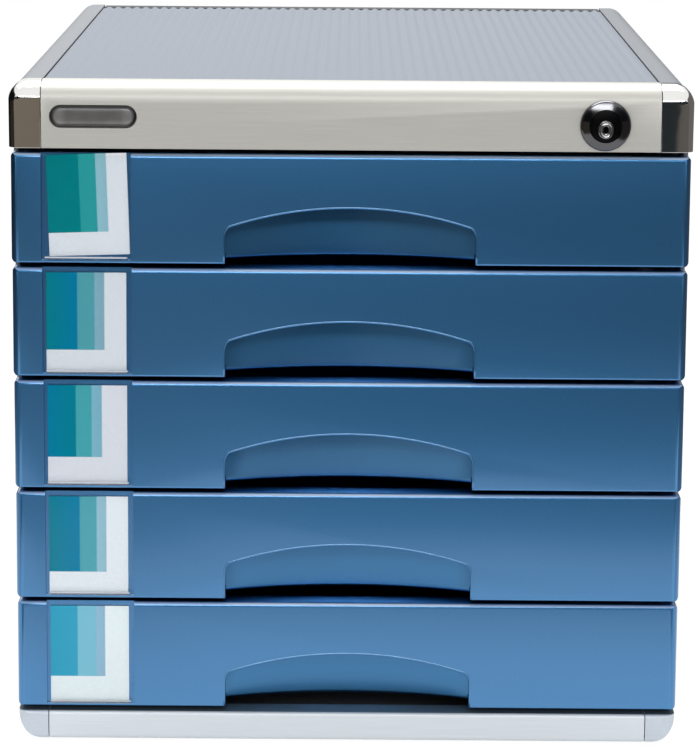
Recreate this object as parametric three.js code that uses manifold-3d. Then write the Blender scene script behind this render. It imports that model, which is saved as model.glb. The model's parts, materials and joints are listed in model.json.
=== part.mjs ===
// Desktop filing cabinet with five drawers and a lock that bars them all.
// Millimetres. +X is the cabinet's right, +Y its back, +Z up. The feet stand on z = 0.
// Inside the model, y = 0 is the front face of the top rail.
import * as THREE from 'three';
import { mergeVertices, toCreasedNormals } from 'three/addons/utils/BufferGeometryUtils.js';
import Module from 'manifold-3d';

const wasm = await Module();
wasm.setup();

// Whole cabinet
const bodyWidth = 300;
const bodyDepth = 364;
const bodyHeight = 300;
const sideSetIn = 0.6;
const fit = 0.3;
const overrun = 5;

// Sheet metal and liners
const panelWall = 2;
const linerWall = 1.8;
const topSeamInset = 14.25;
const topGroove = 0.7;
const bottomLip = 36;
const topLedge = 8;
const topCornerRadius = 8.4;
const baseCornerRadius = 12.5;

// Ribbed top panel
const topPanelThickness = 2.6;
const ribPitch = 5;
const ribHeight = 0.9;
const ribCrest = 2.7;
const ribFoot = 3.9;

// Rails and corner caps round the front
const topRailHeight = 29.1;
const baseRailHeight = 12.9;
const railDepth = 14;
const railFaceWall = 2.5;
const railWall = 1.5;
const topBevelHeight = 6.9;
const topBevelDepth = 6.5;
const baseEdgeRadius = 2.5;
const uprightRadius = 6;

// Rear frame and back panel
const rearFrameDepth = 12;
const rearFrameSink = 0.45;
const rearFrameWidth = 17;
const rearRebate = 7;
const backPanelThickness = 1.5;
const backPanelSink = 1.5;
const rearInnerRadius = 4;

// Rubber feet
const footRadius = 7;
const footHeight = 1.5;
const footSetBack = 26;
const footLipMargin = 3;

// Screws of the back panel
const screwHeadRadius = 3;
const screwHeadHeight = 1.1;
const screwShankRadius = 1.4;
const screwShankLength = 5;

// Badge in the top rail
const badgeWidth = 37.9;
const badgeHeight = 9.6;
const badgeThickness = 0.8;
const badgeSink = 0.4;
const badgeFromSeam = 23.01;
const badgeBelowTop = 15.12;

// Lock
const lockFromSeam = 24.7;
const lockBelowTop = 17.45;
const bezelRadius = 11.2;
const bezelRise = 2.6;
const bezelEdge = 0.8;
const bezelRound = 2;
const plugHeadRadius = 7.2;
const plugHeadSink = 0.4;
const plugSeat = 0.9;
const plugRadius = 5;
const barrelRadius = 6.6;
const barrelLength = 20;
const keywayWidth = 2.2;
const keywayHeight = 8.4;
const keywayDepth = 2.4;
const nutAcrossFlats = 17;
const nutThickness = 4;
const camRadius = 8.2;
const camThickness = 2;
const camPinRadius = 1.5;
const camPinLength = 4;
const lockTravel = 4;

// Lock bar, its hooks and its guides
const barThickness = 1.3;
const barWidth = 9;
const barClearance = 0.8;
const barFront = 21;
const armThickness = 1.5;
const armHeight = 8;
const armEnd = 2.6;
const pinSlotClearance = 0.4;
const barOverhang = 1;
const hookThickness = 1.5;
const hookHeight = 2.5;
const hookReach = 7;
const hookClearance = 0.8;
const guideWall = 1.1;
const guideHeight = 7;
const guideRise = 10;
const guideCells = [1, 3];

// Drawers
const drawerCount = 5;
const drawerGap = 2.49;
const drawerTopGap = 2.77;
const drawerBaseGap = 1.92;
const drawerHeldLength = 88;

// Drawer fronts
const frontSetIn = 0.2;
const frontSetBack = 3;
const frontLean = 2.5;
const frontWall = 3;
const frontReturnWall = 2.6;
const frontTopRadius = 2.2;
const frontBottomRadius = 0.9;
const frontCornerRadius = 2.4;
const frontUprightRadius = 3.5;
const frontDepth = 16.7;

// Arched opening of the pull
const archWidth = 111;
const archHeight = 24.9;
const archShoulder = 15.6;
const archCornerRadius = 4;

// Trays
const trayFloorRise = 3;
const trayRimDrop = 3.13;
const trayWall = 2;
const trayRearGap = 9.3;
const traySideGap = 8.4;
const trayCornerRadius = 3;
const flangeWidth = 5.9;
const flangeThickness = 2.4;
const frontWallGap = 0.3;

// Bay behind the arch
const bayDepth = 9.3;
const bayTop = 26.4;
const bayLow = 0.4;
const bayRoll = 1.5;
const cheekWall = 2;
const bossRadius = 4;
const bossFromWall = 40.9;

// Catches under the trays and stops beside them
const catchLength = 4;
const catchWidth = 7.5;
const catchSetIn = 0.5;
const catchHeight = 4.1;
const catchNose = 2;
const stopLength = 6;
const stopHeight = 8;
const stopClearance = 0.5;
const stopDrop = 0.8;

// Runners in the liners
const runnerReach = 7.3;
const runnerThickness = 2.4;
const keeperGap = 0.4;
const keeperThickness = 2;
const linerFront = 32;
const stopBlockLength = 4;

// Label holders
const windowWidth = 39.6;
const windowFromEdge = 33.2;
const windowThickness = 0.9;
const windowBottomRise = 1.2;
const windowLipDepth = 0.7;
const windowLipHeight = 1.6;
const cardWidth = 35.6;
const cardShortfall = 3.83;
const cardThickness = 0.4;
const cardShift = -0.4;
const firstCardShift = 1.2;
const firstCardTurn = THREE.MathUtils.degToRad(-1.9);

// Steps along curves
const arcSteps = 4;
const outlineSteps = 6;
const archSteps = 12;
const latheSteps = 24;
const rodSides = 16;
const boreSides = 10;

// Places worked out from the sizes above
const halfWidth = bodyWidth / 2;
const sideX = halfWidth - sideSetIn;
const baseZ = footHeight;
const topZ = footHeight + bodyHeight;
const topRailZ = topZ - topRailHeight;
const baseRailZ = baseZ + baseRailHeight;
const seamX = halfWidth - topSeamInset;
const sideInnerX = sideX - panelWall;
const panelFront = railDepth + fit;
const rearFrameY = bodyDepth - rearFrameDepth;
const panelBack = rearFrameY - fit;
const topStep = topPanelThickness + fit;
const lipInnerX = sideX - bottomLip;
const bottomPanelTop = baseZ + panelWall + fit + panelWall;
const linerLow = baseZ + baseCornerRadius + fit;
const linerHigh = topZ - topStep - panelWall - fit;

const drawerZone = topRailZ - baseRailZ - drawerTopGap - drawerBaseGap;
const frontHeight = (drawerZone - (drawerCount - 1) * drawerGap) / drawerCount;
const drawerPitch = frontHeight + drawerGap;
const frontHalf = halfWidth - frontSetIn;
const leanSlope = frontLean / frontHeight;
const trayFront = frontDepth - trayWall;
const trayLength = rearFrameY - trayRearGap - trayFront;
const trayRim = frontHeight - trayRimDrop;
const drawerTravel = trayLength - drawerHeldLength;
const linerX = sideInnerX - fit - linerWall;
const trayHalf = linerX - traySideGap;
const flangeX = trayHalf + flangeWidth;
const runnerX = linerX - runnerReach;
const runnerTop = trayRim - flangeThickness - fit;
const runnerBottom = runnerTop - runnerThickness;
const keeperBottom = trayRim + keeperGap;
const catchTop = trayFloorRise - fit;
const catchLow = catchTop - catchHeight;
const stopTop = runnerBottom - stopDrop;
const stopBlockBack = linerFront + stopBlockLength;
const trayStopY = stopBlockBack + stopClearance + drawerTravel;
const archHalf = archWidth / 2;
const bayHalf = archHalf + fit;
const bossX = trayHalf - bossFromWall;
const windowX = frontHalf - windowFromEdge;
const windowLeft = -windowX - windowWidth / 2;
const windowRight = -windowX + windowWidth / 2;
const recessDepth = fit + cardThickness + fit + windowThickness;

const badgeX = badgeFromSeam - seamX;
const lockX = seamX - lockFromSeam;
const lockZ = topZ - lockBelowTop;
const barX = flangeX + barClearance;
const camFront = barrelLength + fit + fit;
const armFront = camFront + camThickness + fit + fit;
const pinOffset = lockTravel / 2;
const catchFront = barFront + hookThickness + fit + fit;
const hookTop = catchLow - hookClearance;

// Solids
function geometryOf(body) {
  const mesh = body.getMesh();
  const geometry = new THREE.BufferGeometry();
  geometry.setAttribute('position', new THREE.BufferAttribute(mesh.vertProperties, mesh.numProp));
  geometry.setIndex(new THREE.BufferAttribute(mesh.triVerts, 1));
  return geometry;
}

function solid(geometry) {
  geometry.deleteAttribute('normal');
  geometry.deleteAttribute('uv');
  const merged = mergeVertices(geometry);
  return new wasm.Manifold(new wasm.Mesh({
    numProp: 3,
    vertProperties: new Float32Array(merged.attributes.position.array),
    triVerts: new Uint32Array(merged.index.array),
  }));
}

function moved(body, matrix) {
  return solid(geometryOf(body).applyMatrix4(matrix));
}

function joined(bodies) {
  return bodies.reduce((whole, body) => whole.add(body));
}

function without(body, cuts) {
  return cuts.reduce((rest, cut) => rest.subtract(cut), body);
}

function shared(bodies) {
  return bodies.reduce((common, body) => common.intersect(body));
}

// A block between two corners, given in any order
function block(x0, x1, y0, y1, z0, z1) {
  const geometry = new THREE.BoxGeometry(Math.abs(x1 - x0), Math.abs(y1 - y0), Math.abs(z1 - z0));
  geometry.translate((x0 + x1) / 2, (y0 + y1) / 2, (z0 + z1) / 2);
  return solid(geometry);
}

const axisX = new THREE.Vector3(1, 0, 0);
const axisY = new THREE.Vector3(0, 1, 0);
const axisZ = new THREE.Vector3(0, 0, 1);
const outlineToYZ = new THREE.Matrix4().makeBasis(axisY, axisZ, axisX);
const outlineToXZ = new THREE.Matrix4().makeBasis(axisX, axisZ, axisY.clone().negate());

function extruded(outline, length, steps) {
  const options = { depth: length, bevelEnabled: false, curveSegments: steps };
  return new THREE.ExtrudeGeometry(outline, options);
}

// A YZ outline run along X
function alongX(outline, x0, x1, steps = arcSteps) {
  const geometry = extruded(outline, Math.abs(x1 - x0), steps).applyMatrix4(outlineToYZ);
  return solid(geometry.translate(Math.min(x0, x1), 0, 0));
}

// An XZ outline run along Y
function alongY(outline, y0, y1, steps = arcSteps) {
  const geometry = extruded(outline, y1 - y0, steps).applyMatrix4(outlineToXZ);
  return solid(geometry.translate(0, y1, 0));
}

// An XY outline run along Z
function alongZ(outline, z0, z1, steps = arcSteps) {
  return solid(extruded(outline, z1 - z0, steps).translate(0, 0, z0));
}

function rod(radius, x, z, y0, y1, sides = rodSides) {
  const geometry = new THREE.CylinderGeometry(radius, radius, y1 - y0, sides);
  return solid(geometry.translate(x, (y0 + y1) / 2, z));
}

function upright(radius, x, y, z0, z1, sides = rodSides) {
  const geometry = new THREE.CylinderGeometry(radius, radius, z1 - z0, sides).rotateX(Math.PI / 2);
  return solid(geometry.translate(x, y, (z0 + z1) / 2));
}

// A closed outline through corners [a, b, radius], with each corner rounded to its radius
function rounded(corners) {
  const shape = new THREE.Shape();
  const points = corners.map(([a, b]) => new THREE.Vector2(a, b));
  corners.forEach(([, , radius = 0], index) => {
    const corner = points[index];
    const before = points.at(index - 1).clone().sub(corner).normalize();
    const after = points[(index + 1) % points.length].clone().sub(corner).normalize();
    const half = Math.acos(THREE.MathUtils.clamp(before.dot(after), -1, 1)) / 2;
    const reach = radius / Math.tan(half);
    const start = corner.clone().addScaledVector(before, reach);
    if (index === 0) shape.moveTo(start.x, start.y);
    else shape.lineTo(start.x, start.y);
    if (radius === 0) return;
    const end = corner.clone().addScaledVector(after, reach);
    const inward = before.clone().add(after).normalize();
    const centre = corner.clone().addScaledVector(inward, radius / Math.sin(half));
    const from = start.clone().sub(centre).angle();
    const to = end.clone().sub(centre).angle();
    shape.absarc(centre.x, centre.y, radius, from, to, before.cross(after) > 0);
  });
  shape.closePath();
  return shape;
}

function roundedBox(a0, a1, b0, b1, radius) {
  return rounded([[a0, b0, radius], [a1, b0, radius], [a1, b1, radius], [a0, b1, radius]]);
}

// Materials
function finish(color, roughness, metalness, opacity = 1) {
  const transparent = opacity < 1;
  return new THREE.MeshStandardMaterial({ color, roughness, metalness, opacity, transparent });
}

const anodised = finish(0xb9bec8, 0.42, 0.75);
const satinAluminium = finish(0xb8b4ac, 0.38, 0.8);
const paleAluminium = finish(0xd1d7de, 0.4, 0.6);
const chrome = finish(0xc9cbd0, 0.12, 1);
const bluePlastic = finish(0x3a6690, 0.42, 0.15);
const greyPlastic = finish(0x8d9096, 0.6, 0);
const blackPlastic = finish(0x17181b, 0.35, 0.1);
const darkMetal = finish(0x6a6a6b, 0.4, 0.8);
const steel = finish(0x9ea1a5, 0.35, 0.9);
const rubber = finish(0x1d1d1f, 0.9, 0);
const clearPlastic = finish(0xeaf2f4, 0.08, 0, 0.35);
const card = finish(0xdfe9ea, 0.75, 0);

const cabinet = new THREE.Group();
const carcass = new THREE.Group();
cabinet.add(carcass);

function piece(parent, name, body, material) {
  const mesh = new THREE.Mesh(toCreasedNormals(geometryOf(body), Math.PI / 6), material);
  mesh.name = name;
  parent.add(mesh);
}

const sides = [['left', -1], ['right', 1]];

// The outline that the cabinet shows from the front, set in by a wall
function cabinetOutline(half, inset) {
  const x = half - inset;
  const low = baseZ + inset;
  const high = topZ - inset;
  const lowRadius = baseCornerRadius - inset;
  const highRadius = topCornerRadius - inset;
  return rounded([
    [-x, low, lowRadius], [x, low, lowRadius],
    [x, high, highRadius], [-x, high, highRadius],
  ]);
}

// Side panels wrap under the base and over the top, where a step carries the top panel
function sideOutline(side) {
  const stepZ = topZ - topStep;
  const points = [
    [lipInnerX, baseZ, 0],
    [sideX, baseZ, baseCornerRadius],
    [sideX, topZ, topCornerRadius],
    [seamX, topZ, 0],
    [seamX, stepZ, 0],
    [seamX - topLedge, stepZ, 0],
    [seamX - topLedge, stepZ - panelWall, 0],
    [sideInnerX, stepZ - panelWall, 0],
    [sideInnerX, baseZ + panelWall, baseCornerRadius - panelWall],
    [lipInnerX, baseZ + panelWall, 0],
  ];
  return rounded(points.map(([x, z, radius]) => [side * x, z, radius]));
}

// Behind the drawer fronts the panels start further back than at the rails
function drawerZoneCut() {
  return block(-bodyWidth, bodyWidth, 0, frontDepth + fit + fit, baseRailZ, topRailZ);
}

// Round the rear frame the ledge is left out
function ledgeCut() {
  const x = seamX - fit;
  return block(-x, x, panelBack, bodyDepth + overrun, topRailZ, topZ + overrun);
}

function addSidePanels() {
  for (const [word, side] of sides) {
    const panel = alongY(sideOutline(side), panelFront, bodyDepth, outlineSteps);
    piece(carcass, `side_panel_${word}`, without(panel, [drawerZoneCut(), ledgeCut()]), anodised);
  }
}

// Half of the ribs lie on each side of the middle groove
function topPanelOutline(half) {
  const rootZ = topZ - ribHeight;
  const ribs = Math.floor(half / ribPitch);
  const shape = new THREE.Shape();
  shape.moveTo(-half, topZ - topPanelThickness);
  shape.lineTo(half, topZ - topPanelThickness);
  shape.lineTo(half, rootZ);
  for (let rib = ribs - 1; rib >= -ribs; rib -= 1) {
    const centre = (rib + 1 / 2) * ribPitch;
    shape.lineTo(centre + ribFoot / 2, rootZ);
    shape.lineTo(centre + ribCrest / 2, topZ);
    shape.lineTo(centre - ribCrest / 2, topZ);
    shape.lineTo(centre - ribFoot / 2, rootZ);
  }
  shape.lineTo(-half, rootZ);
  shape.closePath();
  return shape;
}

function addFlatPanels() {
  const topHalf = seamX - topGroove;
  piece(carcass, 'top_panel', alongY(topPanelOutline(topHalf), panelFront, panelBack), anodised);
  const bottomHalf = sideX - baseCornerRadius - fit;
  const bottom = block(
    -bottomHalf, bottomHalf, panelFront, panelBack, bottomPanelTop - panelWall, bottomPanelTop);
  piece(carcass, 'bottom_panel', bottom, steel);
}

// Rail sections in YZ: a channel open to the back
function topRailOutline(inset, faceInset, back) {
  const shape = new THREE.Shape();
  const low = topRailZ + inset;
  const high = topZ - inset;
  const shoulder = topZ - topBevelHeight;
  shape.moveTo(faceInset, low);
  shape.lineTo(faceInset, shoulder);
  const bendY = faceInset + (topBevelDepth - faceInset) / 4;
  const bendZ = high - (high - shoulder) / 4;
  shape.quadraticCurveTo(bendY, bendZ, Math.max(topBevelDepth, faceInset + inset), high);
  shape.lineTo(back, high);
  shape.lineTo(back, low);
  shape.closePath();
  return shape;
}

function baseRailOutline(inset, faceInset, back) {
  const low = baseZ + inset;
  const high = baseRailZ - inset;
  const radius = Math.max(baseEdgeRadius - inset, 0);
  return rounded([
    [faceInset, low, radius], [back, low, 0],
    [back, high, 0], [faceInset, high, radius / 2],
  ]);
}

// The plan outline that rounds a corner cap's upright edge, widened inwards past the seam
function capPlan(side, inset, half) {
  const x = half - inset;
  const points = [
    [0, inset, 0],
    [x, inset, uprightRadius - inset],
    [x, railDepth + overrun, 0],
    [0, railDepth + overrun, 0],
  ];
  return rounded(points.map(([a, b, radius]) => [side * a, b, radius]));
}

function capBody(side, outline, half, inset, innerX, back) {
  return shared([
    alongX(outline(inset, inset, back), side * innerX, side * (half + overrun)),
    alongZ(capPlan(side, inset, half), 0, topZ + overrun),
    alongY(cabinetOutline(half, inset), -overrun, railDepth + overrun, outlineSteps),
  ]);
}

function cornerCap(side, outline, half, innerX) {
  const outside = capBody(side, outline, half, 0, innerX, railDepth);
  const inside = capBody(side, outline, half, railWall, innerX - overrun, railDepth + overrun);
  return outside.subtract(inside);
}

function railBody(outline, innerX) {
  const outside = alongX(outline(0, 0, railDepth), -innerX, innerX);
  const channel = outline(railWall, railFaceWall, railDepth + overrun);
  const inside = alongX(channel, -innerX - overrun, innerX + overrun);
  return outside.subtract(inside);
}

function pill(width, height, x, z) {
  return roundedBox(x - width / 2, x + width / 2, z - height / 2, z + height / 2, height / 2);
}

function addFrontRails() {
  const badgeZ = topZ - badgeBelowTop;
  const pocketDepth = badgeSink + badgeThickness + fit;
  const pocket = pill(badgeWidth + 2 * fit, badgeHeight + 2 * fit, badgeX, badgeZ);
  const topRail = without(railBody(topRailOutline, seamX - fit), [
    rod(barrelRadius + fit, lockX, lockZ, -overrun, railFaceWall + overrun),
    alongY(pocket, -overrun, pocketDepth),
  ]);
  piece(carcass, 'top_front_rail', topRail, satinAluminium);
  const badgeOutline = pill(badgeWidth, badgeHeight, badgeX, badgeZ);
  const badge = alongY(badgeOutline, badgeSink, badgeSink + badgeThickness);
  piece(carcass, 'badge_plate', badge, darkMetal);
  piece(carcass, 'base_front_rail', railBody(baseRailOutline, seamX - fit), paleAluminium);
  for (const [word, side] of sides) {
    const topCap = cornerCap(side, topRailOutline, halfWidth, seamX);
    piece(carcass, `top_corner_cap_${word}`, topCap, chrome);
    const baseCap = cornerCap(side, baseRailOutline, sideX, seamX);
    piece(carcass, `base_corner_cap_${word}`, baseCap, paleAluminium);
  }
}

// The rear frame fills the panels' ends, and the back panel drops into its rebate from behind
function rearOpening(inset) {
  return roundedBox(inset - sideX, sideX - inset, baseZ + inset, topZ - inset, rearInnerRadius);
}

function frameBody() {
  const inner = alongY(cabinetOutline(sideX, panelWall + fit), rearFrameY, bodyDepth, outlineSteps);
  const topX = seamX - topGroove;
  const baseX = lipInnerX - fit;
  const middle = topZ - bodyHeight / 2;
  const underStrip = topZ - topStep - panelWall - fit;
  const aboveStep = block(
    -bodyWidth, bodyWidth, 0, bodyDepth + overrun, underStrip, topZ + overrun);
  return joined([
    inner.subtract(aboveStep),
    block(-topX, topX, rearFrameY, bodyDepth, middle, topZ - rearFrameSink),
    block(-baseX, baseX, rearFrameY, bodyDepth, baseZ, middle),
  ]);
}

function addBack() {
  const rebateDepth = backPanelSink + backPanelThickness + fit;
  const rebateInset = rearFrameWidth - rearRebate;
  const frame = without(frameBody(), [
    alongY(rearOpening(rearFrameWidth), 0, bodyDepth + overrun),
    alongY(rearOpening(rebateInset), bodyDepth - rebateDepth, bodyDepth + overrun),
  ]);
  const panelRear = bodyDepth - backPanelSink;
  const panel = alongY(rearOpening(rebateInset + fit), panelRear - backPanelThickness, panelRear);
  const screwX = sideX - rebateInset - rearRebate / 2;
  const holes = [];
  const bores = [];
  for (const [word, side] of sides) {
    for (const [level, z] of [['lower', baseZ + footSetBack], ['upper', topZ - footSetBack]]) {
      const x = side * screwX;
      const bottom = panelRear - screwShankLength;
      holes.push(rod(screwShankRadius + fit, x, z, 0, bodyDepth + overrun, boreSides));
      bores.push(rod(screwShankRadius + fit, x, z, bottom - fit, bodyDepth + overrun, boreSides));
      const shank = rod(screwShankRadius, x, z, bottom, panelRear + fit + fit, boreSides);
      const headRear = panelRear + fit + screwHeadHeight;
      const slot = block(
        x - screwHeadRadius, x + screwHeadRadius,
        headRear - fit, headRear + overrun, z - fit, z + fit);
      const head = rod(screwHeadRadius, x, z, panelRear + fit, headRear).subtract(slot);
      piece(carcass, `back_screw_${level}_${word}`, head.add(shank), steel);
    }
  }
  piece(carcass, 'rear_frame', without(frame, bores), greyPlastic);
  piece(carcass, 'back_panel', without(panel, holes), anodised);
}

function addFeet() {
  const x = lipInnerX + footLipMargin + footRadius;
  for (const [word, side] of sides) {
    for (const [end, y] of [['front', footSetBack], ['rear', bodyDepth - footSetBack]]) {
      const foot = upright(footRadius, side * x, y, 0, footHeight - fit);
      piece(carcass, `foot_${end}_${word}`, foot, rubber);
    }
  }
}

// Liners carry a runner below and a keeper above each tray's flange
function drawerBottom(index) {
  return baseRailZ + drawerBaseGap + (drawerCount - 1 - index) * drawerPitch;
}

function linerOutline(side) {
  const wallX = linerX + linerWall;
  const points = [[wallX, linerLow], [wallX, linerHigh], [linerX, linerHigh]];
  const shelves = [[keeperBottom, keeperBottom + keeperThickness], [runnerBottom, runnerTop]];
  for (let index = 0; index < drawerCount; index += 1) {
    const z = drawerBottom(index);
    for (const [low, high] of shelves) {
      points.push([linerX, z + high], [runnerX, z + high], [runnerX, z + low], [linerX, z + low]);
    }
  }
  points.push([linerX, linerLow]);
  return rounded(points.map(([x, z]) => [side * x, z, 0]));
}

function addLiners() {
  for (const [word, side] of sides) {
    const liner = alongY(linerOutline(side), linerFront, panelBack);
    const stops = [];
    for (let index = 0; index < drawerCount; index += 1) {
      const z = drawerBottom(index) + stopTop;
      stops.push(block(
        side * (runnerX + stopClearance), side * (linerX + linerWall / 2),
        linerFront, stopBlockBack, z - stopHeight, z + stopDrop + runnerThickness / 2));
    }
    piece(carcass, `runner_liner_${word}`, joined([liner, ...stops]), greyPlastic);
  }
}

// Lock: the housing sits in the rail, the plug turns in it, and the cam's pin lifts the lock bar
function latheBody(profile) {
  const points = profile.map(([radius, y]) => new THREE.Vector2(radius, y));
  points.push(points[0].clone());
  return solid(new THREE.LatheGeometry(points, latheSteps)).translate([lockX, 0, lockZ]);
}

function addLockHousing() {
  const bezelBack = -fit;
  const bezelFront = bezelBack - bezelRise;
  const boreRadius = plugRadius + fit;
  const headBore = plugHeadRadius + fit;
  const housing = latheBody([
    [boreRadius, bezelFront + plugHeadSink + plugSeat + fit],
    [headBore, bezelFront + plugHeadSink + plugSeat + fit],
    [headBore, bezelFront + bezelEdge / 2],
    [headBore + bezelEdge / 2, bezelFront],
    [bezelRadius - bezelRound, bezelFront],
    [bezelRadius - bezelRound / 4, bezelFront + bezelRound / 3],
    [bezelRadius, bezelBack - bezelEdge],
    [bezelRadius, bezelBack],
    [barrelRadius, bezelBack],
    [barrelRadius, barrelLength],
    [boreRadius, barrelLength],
  ]);
  piece(carcass, 'lock_housing', housing, chrome);
  const nutFront = railFaceWall + fit;
  const cornerRadius = nutAcrossFlats / 2 / Math.cos(Math.PI / 6);
  const hexagon = new THREE.CylinderGeometry(cornerRadius, cornerRadius, nutThickness, 6);
  hexagon.rotateY(Math.PI / 6).translate(lockX, nutFront + nutThickness / 2, lockZ);
  const nutBore = rod(barrelRadius + fit, lockX, lockZ, 0, nutFront + nutThickness + overrun);
  piece(carcass, 'lock_nut', solid(hexagon).subtract(nutBore), steel);
}

function addLockPlug() {
  const plug = new THREE.Group();
  cabinet.add(plug);
  const headFront = -fit - bezelRise + plugHeadSink;
  const keyway = block(
    lockX - keywayWidth / 2, lockX + keywayWidth / 2,
    headFront - overrun, headFront + keywayDepth, lockZ - keywayHeight / 2, lockZ + keywayHeight / 2);
  const body = latheBody([
    [0, headFront],
    [0, barrelLength + fit],
    [plugRadius, barrelLength + fit],
    [plugRadius, headFront + plugSeat],
    [plugHeadRadius, headFront + plugSeat],
    [plugHeadRadius, headFront],
  ].reverse());
  piece(plug, 'lock_plug', body.subtract(keyway), blackPlastic);
  const pin = rod(
    camPinRadius, lockX - pinOffset, lockZ - pinOffset,
    camFront + camThickness / 2, camFront + camThickness + camPinLength);
  const plate = rod(camRadius, lockX, lockZ, camFront, camFront + camThickness);
  piece(plug, 'lock_cam', plate.add(pin), steel);
}

function addLockBar() {
  const lock = new THREE.Group();
  cabinet.add(lock);
  const armZ = lockZ - pinOffset;
  const slotHalf = camPinRadius + pinSlotClearance;
  const slotLeft = lockX - Math.hypot(pinOffset, pinOffset) - slotHalf;
  const slotRight = lockX - pinOffset + slotHalf;
  const armBack = armFront + armThickness;
  const barLow = drawerBottom(drawerCount - 1) + hookTop - hookHeight - barOverhang;
  const strip = block(
    barX, barX + barThickness, barFront, barFront + barWidth, barLow, armZ + armHeight / 2);
  const arm = block(
    slotLeft - armEnd, barX + barThickness / 2,
    armFront, armBack, armZ - armHeight / 2, armZ + armHeight / 2);
  const slot = block(
    slotLeft, slotRight,
    armFront - overrun, armBack + overrun, armZ - slotHalf, armZ + slotHalf);
  piece(lock, 'lock_bar', strip.add(arm).subtract(slot), steel);
  for (let index = 0; index < drawerCount; index += 1) {
    const top = drawerBottom(index) + hookTop;
    const hook = block(
      trayHalf - hookReach, barX - fit, barFront, barFront + hookThickness, top - hookHeight, top);
    piece(lock, `lock_hook_${index + 1}`, hook, steel);
  }
  guideCells.forEach((index, count) => {
    const low = drawerBottom(index) + guideRise;
    const outer = block(
      barX - fit - guideWall, sideInnerX - fit, barFront - fit - guideWall,
      barFront + barWidth + fit + guideWall, low, low + guideHeight);
    const inner = block(
      barX - fit, barX + barThickness + fit, barFront - fit,
      barFront + barWidth + fit, low - overrun, low + guideHeight + overrun);
    piece(carcass, `lock_bar_guide_${count + 1}`, outer.subtract(inner), greyPlastic);
  });
}

// Drawer pieces are made with z = 0 at the front's lower edge
const leaning = new THREE.Matrix4().set(1, 0, 0, 0, 0, 1, leanSlope, 0, 0, 0, 1, 0, 0, 0, 0, 1);

function leaned(body) {
  return moved(body, leaning);
}

function archOutline(low) {
  const rise = archHeight - archShoulder;
  const radius = (archHalf * archHalf + rise * rise) / (2 * rise);
  const centreZ = archHeight - radius;
  const innerX = archHalf - archCornerRadius / 2;
  const innerZ = centreZ + Math.sqrt(radius * radius - innerX * innerX);
  const cornerZ = archShoulder - archCornerRadius;
  const shape = new THREE.Shape();
  shape.moveTo(archHalf, low);
  shape.lineTo(archHalf, cornerZ);
  shape.quadraticCurveTo(archHalf, archShoulder - archCornerRadius / 4, innerX, innerZ);
  const from = Math.atan2(innerZ - centreZ, innerX);
  shape.absarc(0, centreZ, radius, from, Math.PI - from, false);
  shape.quadraticCurveTo(-archHalf, archShoulder - archCornerRadius / 4, -archHalf, cornerZ);
  shape.lineTo(-archHalf, low);
  shape.closePath();
  return shape;
}

function frontPlan() {
  return rounded([
    [-frontHalf, frontSetBack, frontUprightRadius],
    [frontHalf, frontSetBack, frontUprightRadius],
    [frontHalf, frontDepth + overrun, 0],
    [-frontHalf, frontDepth + overrun, 0],
  ]);
}

function frontFace() {
  return roundedBox(-frontHalf, frontHalf, 0, frontHeight, frontCornerRadius);
}

function frontSection() {
  const back = frontDepth + overrun;
  return rounded([
    [frontSetBack, 0, frontBottomRadius], [back, 0, 0], [back, frontHeight, 0],
    [frontSetBack, frontHeight, frontTopRadius],
  ]);
}

function drawerFront() {
  const x = frontHalf - frontReturnWall;
  const outside = shared([
    alongX(frontSection(), -frontHalf, frontHalf),
    alongZ(frontPlan(), -overrun, frontHeight + overrun),
    alongY(frontFace(), 0, frontDepth + overrun),
  ]);
  const hollow = block(
    -x, x, frontSetBack + frontWall, frontDepth + overrun + overrun,
    frontReturnWall, frontHeight - frontReturnWall);
  const arch = alongY(archOutline(-overrun), 0, frontDepth + overrun + overrun, archSteps);
  const recess = block(
    windowLeft, windowRight, 0, frontSetBack + recessDepth, windowBottomRise, frontHeight + overrun);
  const shell = leaned(without(outside, [hollow, arch, recess]));
  const trimmed = block(-halfWidth, halfWidth, 0, frontDepth, -overrun, frontHeight + overrun);
  return shell.intersect(trimmed);
}

function labelWindow() {
  const top = frontHeight - frontTopRadius / 2;
  const low = windowBottomRise + fit;
  const front = frontSetBack;
  const pane = block(windowLeft + fit, windowRight - fit, front, front + windowThickness, low, top);
  const lip = block(
    windowLeft + fit, windowRight - fit,
    front - windowLipDepth, front + windowThickness, low, low + windowLipHeight);
  return leaned(pane.add(lip));
}

function labelCard(turn, shift) {
  const back = frontSetBack + recessDepth - fit;
  const low = windowBottomRise + fit;
  const centreX = cardShift - windowX;
  const cardHeight = frontHeight - cardShortfall;
  const flat = block(
    -cardWidth / 2, cardWidth / 2, back - cardThickness, back, -cardHeight / 2, cardHeight / 2);
  const rise = low + cardHeight / 2 + Math.abs(Math.sin(turn)) * cardWidth / 2;
  const place = new THREE.Matrix4().makeTranslation(centreX + shift, 0, rise + shift);
  place.multiply(new THREE.Matrix4().makeRotationY(turn));
  return leaned(moved(flat, place));
}

// The wall behind the arch bows back into the tray to leave room for the fingertips
function bowed(outline, half) {
  const options = { depth: 2 * half, steps: archSteps, curveSegments: arcSteps, bevelEnabled: false };
  const geometry = new THREE.ExtrudeGeometry(outline, options).applyMatrix4(outlineToYZ);
  geometry.translate(-half, 0, 0);
  const places = geometry.attributes.position;
  for (let index = 0; index < places.count; index += 1) {
    const share = places.getX(index) / bayHalf;
    places.setY(index, places.getY(index) + bayDepth * Math.max(1 - share * share, 0));
  }
  return leaned(solid(geometry));
}

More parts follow.
